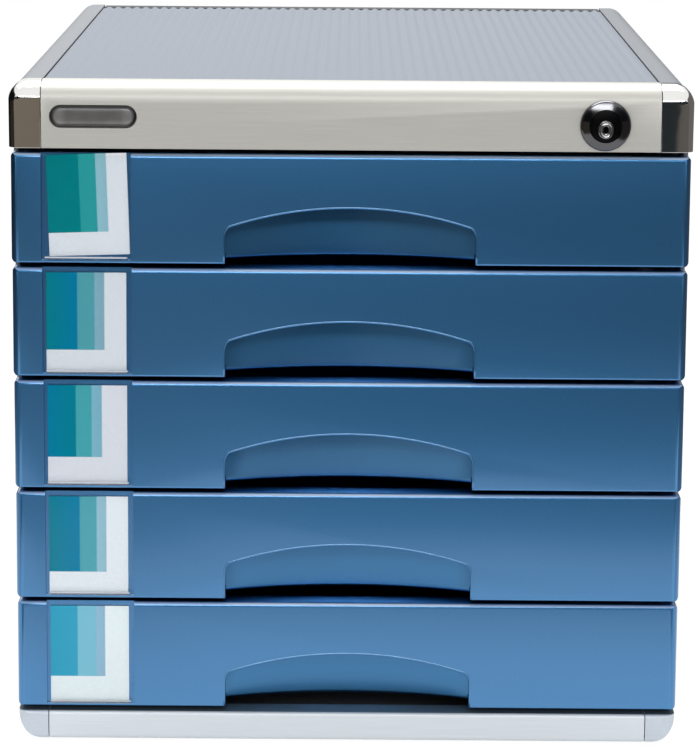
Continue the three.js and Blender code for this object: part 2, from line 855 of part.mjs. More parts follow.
function bayAir() {
  const shape = new THREE.Shape();
  shape.moveTo(0, -overrun);
  shape.lineTo(trayFront + bayRoll, -overrun);
  shape.lineTo(trayFront + bayRoll, bayLow);
  shape.quadraticCurveTo(trayFront, bayLow, trayFront, bayLow + bayRoll);
  shape.lineTo(trayFront, bayTop);
  shape.lineTo(0, bayTop);
  shape.closePath();
  return bowed(shape, bayHalf);
}

function bayBody() {
  const back = trayFront + trayWall;
  const outline = roundedBox(trayFront - bayDepth, back, bayLow, bayTop + trayWall, 0);
  const behind = block(-bodyWidth, bodyWidth, trayFront, bodyDepth, -overrun, frontHeight);
  return bowed(outline, bayHalf + cheekWall).intersect(behind);
}

// Below, the wall's ends leave room for the front's return
function returnRoom() {
  return sides.map(([, side]) => block(
    side * (archHalf - fit), side * (bayHalf + cheekWall + overrun),
    0, frontDepth + fit, -overrun, frontReturnWall + frontWallGap));
}

function cheeks() {
  const behindFace = frontSetBack + frontWall + fit;
  return sides.map(([, side]) => {
    const plate = block(
      side * bayHalf, side * (bayHalf + cheekWall),
      behindFace, frontDepth + overrun,
      frontReturnWall + frontWallGap, frontHeight - frontReturnWall - fit);
    const kept = block(-halfWidth, halfWidth, 0, trayFront + trayWall / 2, 0, frontHeight);
    return leaned(plate).intersect(kept);
  });
}

// Bosses reach forward to the inside of the leaning front
function bosses() {
  const bossZ = (trayFloorRise + trayRim) / 2;
  const behindFace = frontSetBack + frontWall + fit + leanSlope * (bossZ + bossRadius);
  return sides.map(([, side]) => rod(
    bossRadius, side * bossX, bossZ, behindFace, trayFront + trayWall / 2, boreSides));
}

function drawerTray() {
  const rear = trayFront + trayLength;
  const floorTop = trayFloorRise + trayWall;
  const corner = trayCornerRadius;
  const boxOutline = rounded([
    [-trayHalf, trayFront, 0], [trayHalf, trayFront, 0],
    [trayHalf, rear, corner], [-trayHalf, rear, corner],
  ]);
  const innerX = trayHalf - trayWall;
  const innerCorner = corner - trayWall / 2;
  const hollowOutline = roundedBox(-innerX, innerX, trayFront + trayWall, rear - trayWall, innerCorner);
  const wallX = frontHalf - frontReturnWall - frontWallGap;
  const wallTop = frontHeight - frontReturnWall - frontWallGap;
  const box = alongZ(boxOutline, trayFloorRise, trayRim);
  const parts = [
    box.subtract(alongZ(hollowOutline, floorTop, trayRim + overrun)),
    block(-wallX, wallX, trayFront, trayFront + trayWall, frontReturnWall + frontWallGap, wallTop),
    bayBody(), ...cheeks(), ...bosses(),
  ];
  for (const [, side] of sides) {
    const rootX = side * (trayHalf - trayWall / 2);
    const stopX = side * (flangeX - barClearance);
    parts.push(
      block(
        rootX, side * flangeX, trayFront + trayWall / 2, rear - corner,
        trayRim - flangeThickness, trayRim),
      block(rootX, stopX, trayStopY, trayStopY + stopLength, stopTop - stopHeight, stopTop));
  }
  return without(joined(parts), [bayAir(), ...returnRoom()]);
}

// The catch hangs under the tray's floor, and its lower rear edge slopes
function drawerCatch() {
  const rear = catchFront + catchLength;
  const outline = rounded([
    [catchFront, catchLow, 0], [rear - catchNose, catchLow, 0],
    [rear, catchTop, 0], [catchFront, catchTop, 0],
  ]);
  const outer = trayHalf - catchSetIn;
  return alongX(outline, outer - catchWidth, outer);
}

function addDrawers() {
  const tray = drawerTray();
  const hold = drawerCatch();
  const front = drawerFront();
  const pane = labelWindow();
  for (let index = 0; index < drawerCount; index += 1) {
    const drawer = new THREE.Group();
    drawer.position.z = drawerBottom(index);
    cabinet.add(drawer);
    const number = index + 1;
    piece(drawer, `drawer_${number}_tray`, tray, bluePlastic);
    piece(drawer, `drawer_${number}_catch`, hold, greyPlastic);
    piece(drawer, `drawer_${number}_front`, front, bluePlastic);
    piece(drawer, `drawer_${number}_label_window`, pane, clearPlastic);
    const [turn, shift] = index === 0 ? [firstCardTurn, firstCardShift] : [0, 0];
    piece(drawer, `drawer_${number}_label_card`, labelCard(turn, shift), card);
  }
}

addSidePanels();
addFlatPanels();
addFrontRails();
addBack();
addFeet();
addLiners();
addLockHousing();
addLockPlug();
addLockBar();
addDrawers();

// The origin goes to the middle of the footprint, on the surface the feet stand on
cabinet.position.y = -(bodyDepth - fit - bezelRise) / 2;

export default cabinet;
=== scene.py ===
import json
import math
from collections import namedtuple

import bmesh
import bpy
from mathutils import Matrix, Vector


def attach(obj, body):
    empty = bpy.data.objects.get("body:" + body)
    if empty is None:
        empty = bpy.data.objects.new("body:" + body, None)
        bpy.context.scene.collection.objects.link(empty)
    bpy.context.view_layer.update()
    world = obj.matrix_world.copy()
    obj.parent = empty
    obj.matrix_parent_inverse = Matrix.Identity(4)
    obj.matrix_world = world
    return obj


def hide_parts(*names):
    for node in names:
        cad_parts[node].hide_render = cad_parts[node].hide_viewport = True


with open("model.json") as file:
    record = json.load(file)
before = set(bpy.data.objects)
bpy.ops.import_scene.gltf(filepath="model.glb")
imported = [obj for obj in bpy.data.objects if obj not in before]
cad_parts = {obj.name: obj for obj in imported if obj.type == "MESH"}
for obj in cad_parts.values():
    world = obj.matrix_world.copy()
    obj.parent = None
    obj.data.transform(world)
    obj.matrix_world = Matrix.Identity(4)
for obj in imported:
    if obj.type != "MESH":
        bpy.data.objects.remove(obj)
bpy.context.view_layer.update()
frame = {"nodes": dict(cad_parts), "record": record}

MM = 0.001

Place = namedtuple("Place", "x y z")


def node_box(name):
    """The lowest and the highest corner of a CAD node, in millimetres to a thousandth."""
    node = frame["nodes"][name]
    points = [node.matrix_world @ vertex.co / MM for vertex in node.data.vertices]
    low = Place(*(round(min(point[axis] for point in points), 3) for axis in range(3)))
    high = Place(*(round(max(point[axis] for point in points), 3) for axis in range(3)))
    return low, high


# Places of the CAD nodes, in millimetres in the row frame
RAIL_LOW, RAIL_HIGH = node_box("top_front_rail")
CAP_LOW, CAP_HIGH = node_box("top_corner_cap_right")
SHEET_LOW, SHEET_HIGH = node_box("top_panel")
BADGE_LOW, BADGE_HIGH = node_box("badge_plate")
LOCK_LOW, LOCK_HIGH = node_box("lock_housing")
PLUG_LOW, PLUG_HIGH = node_box("lock_plug")
FRONT_LOW, FRONT_HIGH = node_box("drawer_2_front")
CARD_LOW, CARD_HIGH = node_box("drawer_2_label_card")
FRONT_Y = RAIL_LOW.y
TOP_Z = RAIL_HIGH.z

# Top rail and its caps
CORNER_RADIUS = 8.4
CORNER_STEPS = 16
BEVEL_HEIGHT = 6.9
BEVEL_DEPTH = 6.5
BEVEL_STEPS = 20
CAP_DEPTH = CAP_HIGH.y - CAP_LOW.y
CAP_FACE_INSET = 0.15
CAP_SIDE_WIDTH = 4.6
CAP_SIDE_DEPTH = 4.6

# Painted shade on the base rail's flat top, behind its front edge, where the drawer gap is in shadow
GAP_SHADE_TONE = (70, 84, 96)
GAP_SHADE_START = 2
GAP_SHADE_BLUR = 0.6

# Ribbed top sheet
RIB_PITCH = 5
RIB_HEIGHT = 0.9
RIB_DRAWN_HEIGHT = 0.3
RIB_FADE = 7
RIBS_PER_SIDE = 27
RIB_STEPS = 12

# Lock
LOCK_X = (LOCK_LOW.x + LOCK_HIGH.x) / 2
LOCK_Z = (LOCK_LOW.z + LOCK_HIGH.z) / 2
LOCK_STEPS = 96
KEYWAY_Z = LOCK_Z - 1.6
KEYWAY_STEPS = 24

# Badge plate
BADGE_X = (BADGE_LOW.x + BADGE_HIGH.x) / 2
BADGE_Z = (BADGE_LOW.z + BADGE_HIGH.z) / 2
BADGE_RADIUS = (BADGE_HIGH.z - BADGE_LOW.z) / 2
BADGE_REACH = (BADGE_HIGH.x - BADGE_LOW.x) / 2 - BADGE_RADIUS
BADGE_STEPS = 20
# Painted shade in the groove round the badge's edge, set in from the edge
GROOVE_SHADE_START = BADGE_RADIUS - 2.3
GROOVE_SHADE_END = BADGE_RADIUS - 0.7
PALE_END_START = BADGE_REACH - 3
PALE_END_FULL = BADGE_REACH + 1

# Drawers, from the top one down
DRAWER_BOTTOMS = [node_box(f"drawer_{number}_front")[0].z for number in range(1, 6)]
FRONT_HEIGHT = FRONT_HIGH.z - FRONT_LOW.z
FRONT_SET_BACK = 3
FRONT_LEAN = 2.5

# Arch of a drawer's front, its rim and the sinks over its ends
ARCH_HALF = 55.5
ARCH_HEIGHT = 24.9
ARCH_SHOULDER = 15.6
ARCH_CORNER = 4
ARCH_STEPS = 20
ARCH_CORNER_STEPS = 6
RIM_FOOT_HEIGHTS = (0.6, 4, 8)
RIM_RADIUS = 0.6
RIM_SIDES = 10
RIM_SUNK_SHARE = 0.8
RIM_ASIDE_SHARE = 0.6
SINK_OFFSET = 2
SINK_WIDTH = 2.2

# Painted highlight on the upper edge of a drawer's front: a pale, less metallic tone
EDGE_HIGHLIGHT_TONE = (188, 200, 216)
EDGE_HIGHLIGHT_START = 0.3
EDGE_HIGHLIGHT_END = 1.8
EDGE_HIGHLIGHT_DULL_SHARE = 0.7

# Lip of a label window
LIP_RADIUS = 0.4
LIP_RISE = 1.0
LIP_SIDES = 12
LIP_SUNK_SHARE = 0.6
LIP_TIP_SHARE = 0.4
LIP_END = 1.2
LIP_TAPER = 0.5
WINDOW_FOOT = 1

# Label cards, of which the first one stands a little turned and shifted
CARD_X = (CARD_LOW.x + CARD_HIGH.x) / 2
CARD_HALF = (CARD_HIGH.x - CARD_LOW.x) / 2
CARD_HEIGHT = CARD_HIGH.z - CARD_LOW.z
CARD_RISE = CARD_LOW.z - FRONT_LOW.z
FIRST_CARD_TURN = 1.9
FIRST_CARD_SHIFT = 1.2
STRIPE_BLUR_SHARE = 0.006
FOOT_BLUR = 0.1

# Plain stripes of the cards, from the top drawer down, with the shares of the width where they
# end and the height of the white foot in millimetres
CARD_STRIPES = (
    dict(dark_left=(0, 124, 128), dark_right=(0, 126, 131), middle=(46, 156, 156),
         pale=(150, 191, 201), white=(229, 227, 230), end_shares=(0.401, 0.611, 0.744), foot=10.3),
    dict(dark_left=(0, 126, 138), dark_right=(0, 122, 160), middle=(84, 160, 168),
         pale=(136, 176, 190), white=(226, 224, 226), end_shares=(0.388, 0.602, 0.725), foot=10.2),
    dict(dark_left=(0, 126, 160), dark_right=(0, 128, 146), middle=(74, 166, 172),
         pale=(134, 184, 200), white=(228, 224, 228), end_shares=(0.355, 0.552, 0.681), foot=12.3),
    dict(dark_left=(0, 130, 150), dark_right=(0, 128, 168), middle=(88, 168, 178),
         pale=(160, 198, 210), white=(240, 239, 240), end_shares=(0.388, 0.602, 0.725), foot=10.2),
    dict(dark_left=(50, 166, 196), dark_right=(56, 168, 198), middle=(134, 198, 214),
         pale=(160, 194, 216), white=(246, 248, 245), end_shares=(0.346, 0.585, 0.696), foot=12.1),
)

# Small round edges of the CAD nodes, by slot and for the other slots
EDGE_ROUNDS = {
    "blue_plastic": 0.6,
    "label_card": 0.12,
    "label_window": 0.12,
    "inner_steel": 0.12,
    "satin_rail": 0.5,
}
EDGE_ROUND = 0.35
SAME_POINT = 0.001
WELD_REACH = 0.002
FLAT_ANGLE = 0.5

# Camera, in millimetres and degrees, with its clip in metres
CAMERA_PLACE = (-0.15, -1525.52, 459.6)
CAMERA_YAW = 0
CAMERA_PITCH = -12.054
CAMERA_ROLL = 0.423
CAMERA_LENS = 149.083
SENSOR_WIDTH = 36
CLIP_START = 0.01
CLIP_END = 100

# Stage, in metres and degrees
FLOOR_HALF = 30
RING_REACH = 12
RING_STEP = 12
RING_Z = 0.002
WALL_FOOT = -0.1
WALL_TOP = 5.6
ROOM_FRONT = -3
ROOM_BACK = 8
ROOM_HALF = 3
ROOM_TOP = 3
WINDOW_HALF = 0.9
WINDOW_LOW = 1.32
WINDOW_HIGH = 1.75
BACK_CARD_X = 0.45

# Light and colours of the stage, as linear values
AMBIENT_STRENGTH = 0.6
FLOOR_STRENGTH = 1.07
FLOOR_WHITE_SHARE = 0.88
WINDOW_STRENGTH = 10
WHITE = (1, 1, 1, 1)
AMBIENT = (0.97, 0.98, 1, 1)
PAPER = (0.85, 0.85, 0.85, 1)
BLACK = (0.006, 0.006, 0.006, 1)
DARK = (0.02, 0.025, 0.028, 1)
UMBER = (0.027, 0.023, 0.02, 1)
BROWN = (0.185, 0.155, 0.125, 1)
DIM = (0.11, 0.1, 0.092, 1)
GREY = (0.145, 0.136, 0.135, 1)
PALE = (0.2, 0.2, 0.21, 1)


def linear(red, green, blue):
    """An sRGB colour of 0 to 255 as linear values."""
    def channel(value):
        share = value / 255
        return share / 12.92 if share <= 0.04045 else ((share + 0.055) / 1.055) ** 2.4
    return (channel(red), channel(green), channel(blue), 1)


def shade(colour, factor):
    """The colour made paler or darker by a factor."""
    return tuple(min(channel * factor, 1) for channel in colour[:3]) + (1,)


# Camera
def add_camera():
    yaw, pitch, roll = (math.radians(a) for a in (CAMERA_YAW, CAMERA_PITCH, CAMERA_ROLL))
    forward = Vector((
        math.sin(yaw) * math.cos(pitch), math.cos(yaw) * math.cos(pitch), math.sin(pitch)))
    level = forward.cross(Vector((0, 0, 1))).normalized()
    rise = level.cross(forward)
    right = level * math.cos(roll) + rise * math.sin(roll)
    up = rise * math.cos(roll) - level * math.sin(roll)
    data = bpy.data.cameras.new("camera")
    data.lens = CAMERA_LENS
    data.sensor_fit = "AUTO"
    data.sensor_width = SENSOR_WIDTH
    data.clip_start = CLIP_START
    data.clip_end = CLIP_END
    camera = bpy.data.objects.new("camera", data)
    bpy.context.scene.collection.objects.link(camera)
    turn = Matrix((right, up, -forward)).transposed().to_4x4()
    camera.matrix_world = Matrix.Translation(Vector(CAMERA_PLACE) * MM) @ turn
    bpy.context.scene.camera = camera


# Node trees
class Nodes:
    """A node tree, with short ways to add its nodes and to join them."""

    def __init__(self, tree):
        self.tree = tree

    def node(self, kind, **settings):
        made = self.tree.nodes.new(kind)
        for key, value in settings.items():
            setattr(made, key, value)
        return made

    def feed(self, socket, value):
        """Link the socket to another one, or set it to a plain value."""
        if isinstance(value, bpy.types.NodeSocket):
            self.tree.links.new(value, socket)
        else:
            socket.default_value = value

    def math(self, operation, first, second=0.0):
        made = self.node("ShaderNodeMath", operation=operation)
        self.feed(made.inputs[0], first)
        self.feed(made.inputs[1], second)
        return made.outputs[0]

    def joined(self, share, first, second):
        """Two shaders mixed, by the share of the second one."""
        made = self.node("ShaderNodeMixShader")
        for socket, value in zip(made.inputs, (share, first, second)):
            self.feed(socket, value)
        return made.outputs[0]


class Graph(Nodes):
    """A material that ends in one Principled shader."""

    def __init__(self, name):
        self.material = bpy.data.materials.new(name)
        self.material.use_nodes = True
        super().__init__(self.material.node_tree)
        self.shader = self.tree.nodes["Principled BSDF"]
        self.surface = self.tree.nodes["Material Output"].inputs["Surface"]
        self.place = self.node("ShaderNodeTexCoord").outputs["Object"]

    def set(self, **values):
        """Feed the shader's sockets, with underscores for the spaces in their names."""
        for key, value in values.items():
            self.feed(self.shader.inputs[key.replace("_", " ")], value)

    def axis(self, name, source=None):
        made = self.node("ShaderNodeSeparateXYZ")
        self.feed(made.inputs[0], source or self.place)
        return made.outputs[name]

    def normal(self):
        return self.node("ShaderNodeNewGeometry").outputs["Normal"]

    def leaned(self, lean):
        """The surface's normal, turned up a little."""
        raised = self.node("ShaderNodeVectorMath", operation="ADD")
        self.feed(raised.inputs[0], self.normal())
        raised.inputs[1].default_value = (0, 0, lean)
        made = self.node("ShaderNodeVectorMath", operation="NORMALIZE")
        self.feed(made.inputs[0], raised.outputs[0])
        return made.outputs[0]

    def stretched(self, x, y, z):
        made = self.node("ShaderNodeVectorMath", operation="MULTIPLY")
        self.feed(made.inputs[0], self.place)
        made.inputs[1].default_value = (x, y, z)
        return made.outputs[0]

    def noise(self, scale, detail=2.0, roughness=0.5, source=None):
        made = self.node("ShaderNodeTexNoise")
        self.feed(made.inputs["Vector"], source or self.place)
        made.inputs["Scale"].default_value = scale
        made.inputs["Detail"].default_value = detail
        made.inputs["Roughness"].default_value = roughness
        return made.outputs["Fac"]

    def cells(self, scale):
        made = self.node("ShaderNodeTexVoronoi")
        self.feed(made.inputs["Vector"], self.place)
        made.inputs["Scale"].default_value = scale
        return made.outputs["Distance"]

    def spread(self, value, low, high, from_low=0.0, from_high=1.0):
        """The value, drawn out from one range to another."""
        made = self.node("ShaderNodeMapRange")
        self.feed(made.inputs["Value"], value)
        made.inputs["From Min"].default_value = from_low
        made.inputs["From Max"].default_value = from_high
        made.inputs["To Min"].default_value = low
        made.inputs["To Max"].default_value = high
        return made.outputs["Result"]

    def smooth(self, value, from_low, from_high):
        """A soft step from 0 to 1."""
        made = self.node("ShaderNodeMapRange", interpolation_type="SMOOTHSTEP")
        self.feed(made.inputs["Value"], value)
        made.inputs["From Min"].default_value = from_low
        made.inputs["From Max"].default_value = from_high
        return made.outputs["Result"]

    def mix(self, share, first, second):
        made = self.node("ShaderNodeMix", data_type="RGBA", blend_type="MIX")
        self.feed(made.inputs[0], share)
        self.feed(made.inputs[6], first)
        self.feed(made.inputs[7], second)
        return made.outputs[2]

    def between(self, texture, colour, dark, pale, from_low=0.3, from_high=0.7):
        """The colour from its dark shade to its pale one, as the texture rises."""
        share = self.spread(texture, 0, 1, from_low, from_high)
        return self.mix(share, shade(colour, dark), shade(colour, pale))

    def stained(self, texture, tone, stain, most, from_low=0.0, from_high=1.0):
        """The tone with up to a share of the stain, as the texture rises."""
        return self.mix(self.spread(texture, 0, most, from_low, from_high), tone, stain)

    def ramp(self, value, stops):
        made = self.node("ShaderNodeValToRGB")
        self.feed(made.inputs[0], value)
        elements = made.color_ramp.elements
        while len(elements) < len(stops):
            elements.new(0.5)
        for element, (position, colour) in zip(elements, stops):
            element.position = position
            element.color = colour
        return made.outputs["Color"]

    def bump(self, height, strength, depth, under=None):
        """A bumped normal over the plain one or another one, with its depth in millimetres."""
        made = self.node("ShaderNodeBump")
        made.inputs["Strength"].default_value = strength
        made.inputs["Distance"].default_value = depth * MM
        self.feed(made.inputs["Height"], height)
        if under is not None:
            self.feed(made.inputs["Normal"], under)
        return made.outputs["Normal"]


class StageNodes(Nodes):
    """The emptied node tree of a stage material or of the world."""

    def __init__(self, owner, output):
        owner.use_nodes = True
        super().__init__(owner.node_tree)
        self.tree.nodes.clear()
        self.surface = self.node(output).inputs["Surface"]

    def light(self, kind, colour, strength=1.0):
        made = self.node(kind)
        made.inputs["Color"].default_value = colour
        made.inputs["Strength"].default_value = strength
        return made.outputs[0]

    def seen(self):
        """One for a ray that shows the background: from the camera, off a gloss or through glass."""
        path = self.node("ShaderNodeLightPath")
        first = self.math("MAXIMUM", path.outputs["Is Camera Ray"], path.outputs["Is Glossy Ray"])
        return self.math("MAXIMUM", first, path.outputs["Is Transmission Ray"])


# Materials
def anodised(name, colour, metallic, roughness):
    """Silver sheet with a fine speckle and a faint drift of tone."""
    graph = Graph(name)
    speckle = graph.noise(scale=2600, detail=3, roughness=0.7)
    drift = graph.noise(scale=9)
    tone = graph.between(speckle, colour, dark=0.86, pale=1.12)
    graph.set(
        Base_Color=graph.stained(drift, tone, shade(colour, 0.9), most=0.25),
        Metallic=metallic,
        Roughness=graph.spread(speckle, low=roughness - 0.05, high=roughness + 0.08),
        Specular_IOR_Level=0.2,
        Normal=graph.bump(speckle, strength=0.12, depth=0.1),
    )
    return graph.material


def ribbed_sheet(name, colour):
    """Satin sheet with a fine speckle; its ribs are built."""
    graph = Graph(name)
    speckle = graph.noise(scale=2200, detail=3, roughness=0.7)
    drift = graph.noise(scale=6)
    tone = graph.between(speckle, colour, dark=0.93, pale=1.06)
    graph.set(
        Base_Color=graph.stained(drift, tone, shade(colour, 0.93), most=0.3),
        Metallic=0.15,
        Roughness=graph.spread(speckle, low=0.55, high=0.65),
        Specular_IOR_Level=0.1,
        Normal=graph.bump(speckle, strength=0.08, depth=0.1),
    )
    return graph.material


def painted_gap_shade(graph, tone):
    """The tone with painted shade on the flat top behind the front edge, where a drawer stands over
    it.
    """
    start = FRONT_Y + GAP_SHADE_START
    upward = graph.smooth(graph.axis("Z", graph.normal()), from_low=0.7, from_high=0.95)
    behind = graph.smooth(graph.axis("Y"), start * MM, (start + GAP_SHADE_BLUR) * MM)
    return graph.mix(graph.math("MULTIPLY", upward, behind), tone, linear(*GAP_SHADE_TONE))


def brushed(name, colour, metallic, roughness, seat=False):
    """Satin metal with a fine grain along X, and with painted shade on its flat top behind the front
    edge where a seat is asked for.
    """
    graph = Graph(name)
    grain = graph.noise(scale=1, detail=3, roughness=0.6, source=graph.stretched(30, 1800, 1800))
    drift = graph.noise(scale=14)
    tone = graph.between(grain, colour, dark=0.94, pale=1.06, from_low=0.25, from_high=0.75)
    tone = graph.stained(drift, tone, shade(colour, 0.88), most=0.2)
    graph.set(
        # With seat set, the flat top behind the front edge gets painted shade
        Base_Color=painted_gap_shade(graph, tone) if seat else tone,
        Metallic=metallic,
        Roughness=graph.spread(grain, low=roughness - 0.04, high=roughness + 0.06),
        Normal=graph.bump(grain, strength=0.06, depth=0.1),
    )
    return graph.material


def polished(name, colour, roughness):
    """Bright plating with faint ripples and a few dull smudges."""
    graph = Graph(name)
    ripple = graph.noise(scale=90)
    smudge = graph.noise(scale=45, detail=3)
    dull = shade(colour, 0.8)
    graph.set(
        Base_Color=graph.stained(smudge, colour, dull, most=0.3, from_low=0.45, from_high=0.75),
        Metallic=1.0,
        Roughness=graph.spread(smudge, roughness, roughness + 0.08, from_low=0.4, from_high=0.8),
        Normal=graph.bump(ripple, strength=0.1, depth=0.4),
    )
    return graph.material


def zinc(name, colour):
    """Plated steel with faint crystal spangles."""
    graph = Graph(name)
    spangle = graph.cells(scale=260)
    drift = graph.noise(scale=30, detail=3)
    graph.set(
        Base_Color=graph.between(spangle, colour, dark=0.9, pale=1.1, from_low=0, from_high=0.8),
        Metallic=0.85,
        Roughness=graph.spread(drift, low=0.3, high=0.45),
        Normal=graph.bump(drift, strength=0.08, depth=0.2),
    )
    return graph.material


def moulded(name, colour, roughness, grain_scale):
    """Dull moulded plastic or rubber with a fine skin."""
    graph = Graph(name)
    grain = graph.cells(grain_scale)
    drift = graph.noise(scale=25)
    graph.set(
        Base_Color=graph.stained(drift, colour, shade(colour, 0.84), most=0.5),
        Roughness=graph.spread(drift, low=roughness - 0.04, high=roughness + 0.06),
        Normal=graph.bump(grain, strength=0.15, depth=0.1),
    )
    return graph.material


def badge_metal(name, colour):
    """Dark satin metal, with painted shade in the groove round the edge and paler at the two ends.
    """
    graph = Graph(name)
    grain = graph.noise(scale=1, detail=3, roughness=0.6, source=graph.stretched(60, 1500, 1500))
    drift = graph.noise(scale=110)
    across = graph.math("ABSOLUTE", graph.math("SUBTRACT", graph.axis("X"), BADGE_X * MM))
    beyond = graph.math("MAXIMUM", graph.math("SUBTRACT", across, BADGE_REACH * MM), 0)
    above = graph.math("SUBTRACT", graph.axis("Z"), BADGE_Z * MM)
    beyond_square = graph.math("MULTIPLY", beyond, beyond)
    above_square = graph.math("MULTIPLY", above, above)
    reach = graph.math("SQRT", graph.math("ADD", beyond_square, above_square))
    groove = graph.smooth(reach, GROOVE_SHADE_START * MM, GROOVE_SHADE_END * MM)
    end = graph.smooth(across, PALE_END_START * MM, PALE_END_FULL * MM)
    tone = graph.between(grain, colour, dark=0.9, pale=1.1, from_low=0.25, from_high=0.75)
    tone = graph.stained(drift, tone, shade(colour, 0.72), most=0.5, from_low=0.35, from_high=0.65)
    tone = graph.mix(end, tone, shade(colour, 1.35))
    graph.set(
        # Painted shade in the groove round the edge
        Base_Color=graph.mix(groove, tone, shade(colour, 0.17)),
        Metallic=0.8,
        Roughness=graph.spread(grain, low=0.26, high=0.36),
        Normal=graph.bump(grain, strength=0.05, depth=0.1),
    )
    return graph.material


def gloss_black(name, colour, dust_colour):
    """The lock's black face, with fine dust in the gloss."""
    graph = Graph(name)
    dust = graph.noise(scale=1400, detail=3, roughness=0.7)
    ripple = graph.noise(scale=200)
    graph.set(
        Base_Color=graph.stained(dust, colour, dust_colour, most=1, from_low=0.55, from_high=0.8),
        Roughness=graph.spread(dust, low=0.22, high=0.4),
        Specular_IOR_Level=0.1,
        Normal=graph.bump(ripple, strength=0.08, depth=0.2),
    )
    return graph.material


def painted_edge_highlight(graph, most):
    """The share of painted highlight on a front: up to a share on upward faces, close behind its top
    edge.
    """
    edge = FRONT_Y + FRONT_SET_BACK + FRONT_LEAN
    start, end = (edge + EDGE_HIGHLIGHT_START) * MM, (edge + EDGE_HIGHLIGHT_END) * MM
    upward = graph.smooth(graph.axis("Z", graph.normal()), from_low=0.25, from_high=0.8)
    near = graph.math("SUBTRACT", 1, graph.smooth(graph.axis("Y"), start, end))
    return graph.math("MULTIPLY", graph.math("MULTIPLY", upward, near), most)


def arch_sinks(graph):
    """The height of the faint sinks, which run over the arch's two ends."""
    side = graph.math("ABSOLUTE", graph.axis("X"))
    offset = graph.math("SUBTRACT", side, (ARCH_HALF + SINK_OFFSET) * MM)
    share = graph.math("MULTIPLY", offset, 1 / (SINK_WIDTH * MM))
    square = graph.math("MULTIPLY", share, share)
    return graph.math("EXPONENT", graph.math("MULTIPLY", square, -1))


def metallic_blue(name, colour, coat, lean=0, edge_highlight=0):
    """Satin metallic blue plastic with flakes, an orange peel and faint sinks.

    A lean turns its normal up a little, and an edge highlight paints a pale highlight on a front's
    top edge.
    """
    graph = Graph(name)
    flake = graph.noise(scale=3200, roughness=0.6)
    peel = graph.noise(scale=420)
    drift = graph.noise(scale=7)
    tone = graph.between(flake, colour, dark=0.93, pale=1.08)
    tone = graph.stained(drift, tone, shade(colour, 0.85), most=0.16)
    metallic = 1.0
    # Painted highlight: upward faces at a front's top edge turn pale and lose some metal
    if edge_highlight:
        highlight = painted_edge_highlight(graph, edge_highlight)
        tone = graph.mix(highlight, tone, linear(*EDGE_HIGHLIGHT_TONE))
        metallic = graph.math("SUBTRACT", 1, graph.math("MULTIPLY", highlight, EDGE_HIGHLIGHT_DULL_SHARE))
    normal = graph.leaned(lean) if lean else None
    skin = graph.bump(peel, strength=0.05, depth=0.2, under=normal)
    graph.set(
        Base_Color=tone,
        Metallic=metallic,
        Roughness=graph.spread(flake, low=0.33, high=0.39),
        Coat_Weight=coat,
        Coat_Roughness=0.16,
        Normal=graph.bump(arch_sinks(graph), strength=0.25, depth=-0.1, under=skin),
    )
    return graph.material


def clear_cover(name):
    """Clear moulded cover: its share of reflection grows at a low angle."""
    graph = Graph(name)
    haze = graph.noise(scale=160, detail=3)
    ripple = graph.noise(scale=60)
    graph.set(
        Base_Color=graph.mix(haze, (0.85, 0.88, 0.9, 1), (0.95, 0.97, 0.98, 1)),
        Metallic=1.0,
        Roughness=graph.spread(haze, low=0.06, high=0.14),
        Normal=graph.bump(ripple, strength=0.05, depth=0.3),
    )
    clear = graph.node("ShaderNodeBsdfTransparent")
    clear.inputs["Color"].default_value = (0.96, 0.98, 0.99, 1)
    edge = graph.node("ShaderNodeLayerWeight")
    edge.inputs["Blend"].default_value = 0.25
    gloss = graph.spread(edge.outputs["Fresnel"], low=0, high=0.4)
    share = graph.math("ADD", gloss, graph.spread(haze, low=0, high=0.004))
    graph.feed(graph.surface, graph.joined(share, clear.outputs[0], graph.shader.outputs[0]))
    return graph.material


def card_paper(name, index):
    """Printed card: plain stripes over a white foot, in the card's own directions."""
    card = CARD_STRIPES[index]
    turn = math.radians(FIRST_CARD_TURN) if index == 0 else 0
    shift = FIRST_CARD_SHIFT if index == 0 else 0
    rise = CARD_RISE + CARD_HEIGHT / 2 + math.sin(turn) * CARD_HALF + shift
    graph = Graph(name)
    place = graph.node("ShaderNodeMapping", vector_type="TEXTURE")
    graph.feed(place.inputs["Vector"], graph.place)
    centre = ((CARD_X + shift) * MM, 0, (DRAWER_BOTTOMS[index] + rise) * MM)
    place.inputs["Location"].default_value = centre
    place.inputs["Rotation"].default_value = (0, -turn, 0)
    half = CARD_HALF * MM
    across = graph.spread(graph.axis("X", place.outputs[0]), 0, 1, from_low=-half, from_high=half)
    first, second, third = card["end_shares"]
    blur = STRIPE_BLUR_SHARE
    middle, pale, white = (linear(*card[stripe]) for stripe in ("middle", "pale", "white"))
    stripes = graph.ramp(across, (
        (0, linear(*card["dark_left"])),
        (first - blur, linear(*card["dark_right"])),
        (first + blur, middle),
        (second - blur, middle),
        (second + blur, pale),
        (third - blur, shade(pale, 0.94)),
        (third + blur, white),
    ))
    foot = (card["foot"] - CARD_HEIGHT / 2) * MM
    soft = FOOT_BLUR * MM
    above = graph.smooth(graph.axis("Z", place.outputs[0]), foot - soft, foot + soft)
    fibre = graph.noise(scale=900, detail=3, roughness=0.7)
    inked = graph.mix(above, white, stripes)
    graph.set(
        Base_Color=graph.mix(graph.spread(fibre, low=0.06, high=0.24), inked, (0, 0.01, 0.01, 1)),
        Roughness=graph.spread(fibre, low=0.6, high=0.75),
        Specular_IOR_Level=0.0,
        Normal=graph.bump(fibre, strength=0.05, depth=0.1),
    )
    return graph.material


